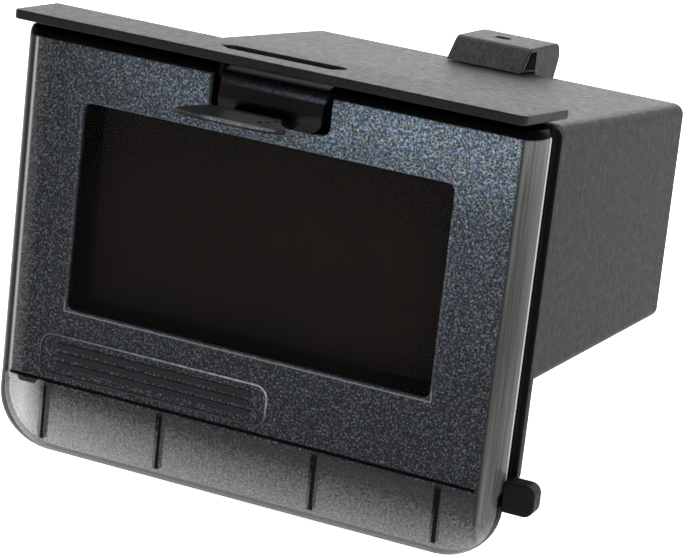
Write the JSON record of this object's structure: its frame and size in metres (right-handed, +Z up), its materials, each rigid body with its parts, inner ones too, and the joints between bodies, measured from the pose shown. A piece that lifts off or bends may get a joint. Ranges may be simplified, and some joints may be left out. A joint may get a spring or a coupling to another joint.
{
  "type": "taxi meter",
  "caption": "Dash-mounted taxi meter: tapered black casing, front flange and hood, hinged smoke-tinted door with a clear window, and a sprung latch.",
  "frame": {"origin": "middle of the display's width and height, on the rear face of the front flange, which sits against the dashboard", "axes": "+X right as seen from the front, +Y back into the dashboard, +Z up"},
  "size_m": [0.2426, 0.3219, 0.1887],
  "materials": {
    "casing_plastic": "fine moulded texture",
    "trim_plastic": "satin black",
    "smoked_cover": "smoke-tinted, frosted grain",
    "clear_window": "polished smoke tint",
    "bright_steel": "drawn",
    "zinc_steel": "zinc plated",
    "seal_rubber": "matte",
    "screen_glass": "dark, polished",
    "component_plastic": "moulded",
    "circuit_board": "solder mask",
    "key_plastic": "fine texture",
    "heatsink_aluminium": "extruded"
  },
  "bodies": {
    "housing": {"casing_body": "casing_plastic", "front_flange": "casing_plastic", "hood_plate": "casing_plastic", "roof_clip": "casing_plastic", "hinge_rod": "bright_steel", "hinge_rod_grip": "trim_plastic", "latch_pin": "bright_steel", "latch_spring": "bright_steel", "door_seal": "seal_rubber", "display_shroud": "trim_plastic", "display_glass": "screen_glass", "lcd_panel": "component_plastic", "keypad_frame": "trim_plastic", "keypad_board": "circuit_board", "chassis_tray": "zinc_steel", "main_board": "circuit_board", "power_converter": "component_plastic", "processor_heatsink": "heatsink_aluminium", "backup_cell": "bright_steel", "sounder": "component_plastic", "fuse_carrier": "component_plastic", "display_flex": "component_plastic", "rear_plate": "zinc_steel", "power_socket": "component_plastic", "data_socket": "component_plastic", "antenna_jack": "bright_steel", "plate_screw_1": "zinc_steel", "plate_screw_2": "zinc_steel", "plate_screw_3": "zinc_steel", "plate_screw_4": "zinc_steel", "flange_screw_1": "zinc_steel", "flange_screw_2": "zinc_steel", "flange_screw_3": "zinc_steel", "flange_screw_4": "zinc_steel", "hood_screw_1": "zinc_steel", "hood_screw_2": "zinc_steel", "clip_screw_1": "zinc_steel", "clip_screw_2": "zinc_steel"},
    "door": {"door_cover": "smoked_cover", "door_window": "clear_window", "badge_plate": "smoked_cover"},
    "latch": {"latch_tongue": "trim_plastic"},
    "push_key_1": {"key_1": "key_plastic"},
    "push_key_2": {"key_2": "key_plastic"},
    "push_key_3": {"key_3": "key_plastic"},
    "push_key_4": {"key_4": "key_plastic"},
    "push_key_5": {"key_5": "key_plastic"}
  },
  "joints": [
    {"name": "door_hinge", "type": "hinge", "parent": "housing", "child": "door", "pos_m": [0, -0.0084, -0.0804], "axis": [1, 0, 0], "range_deg": [0, 95]},
    {"name": "latch_pivot", "type": "hinge", "parent": "housing", "child": "latch", "pos_m": [0, -0.0126, 0.0675], "axis": [-1, 0, 0], "range_deg": [0, 14], "stiffness_Nm_per_rad": 0.4, "springref_deg": -5.73},
    {"name": "key_1_press", "type": "slide", "parent": "housing", "child": "push_key_1", "axis": [0, 1, 0], "range_m": [0, 0.0012], "stiffness_N_per_m": 900, "springref_m": -0.0006},
    {"name": "key_2_press", "type": "slide", "parent": "housing", "child": "push_key_2", "axis": [0, 1, 0], "range_m": [0, 0.0012], "stiffness_N_per_m": 900, "springref_m": -0.0006},
    {"name": "key_3_press", "type": "slide", "parent": "housing", "child": "push_key_3", "axis": [0, 1, 0], "range_m": [0, 0.0012], "stiffness_N_per_m": 900, "springref_m": -0.0006},
    {"name": "key_4_press", "type": "slide", "parent": "housing", "child": "push_key_4", "axis": [0, 1, 0], "range_m": [0, 0.0012], "stiffness_N_per_m": 900, "springref_m": -0.0006},
    {"name": "key_5_press", "type": "slide", "parent": "housing", "child": "push_key_5", "axis": [0, 1, 0], "range_m": [0, 0.0012], "stiffness_N_per_m": 900, "springref_m": -0.0006}
  ]
}
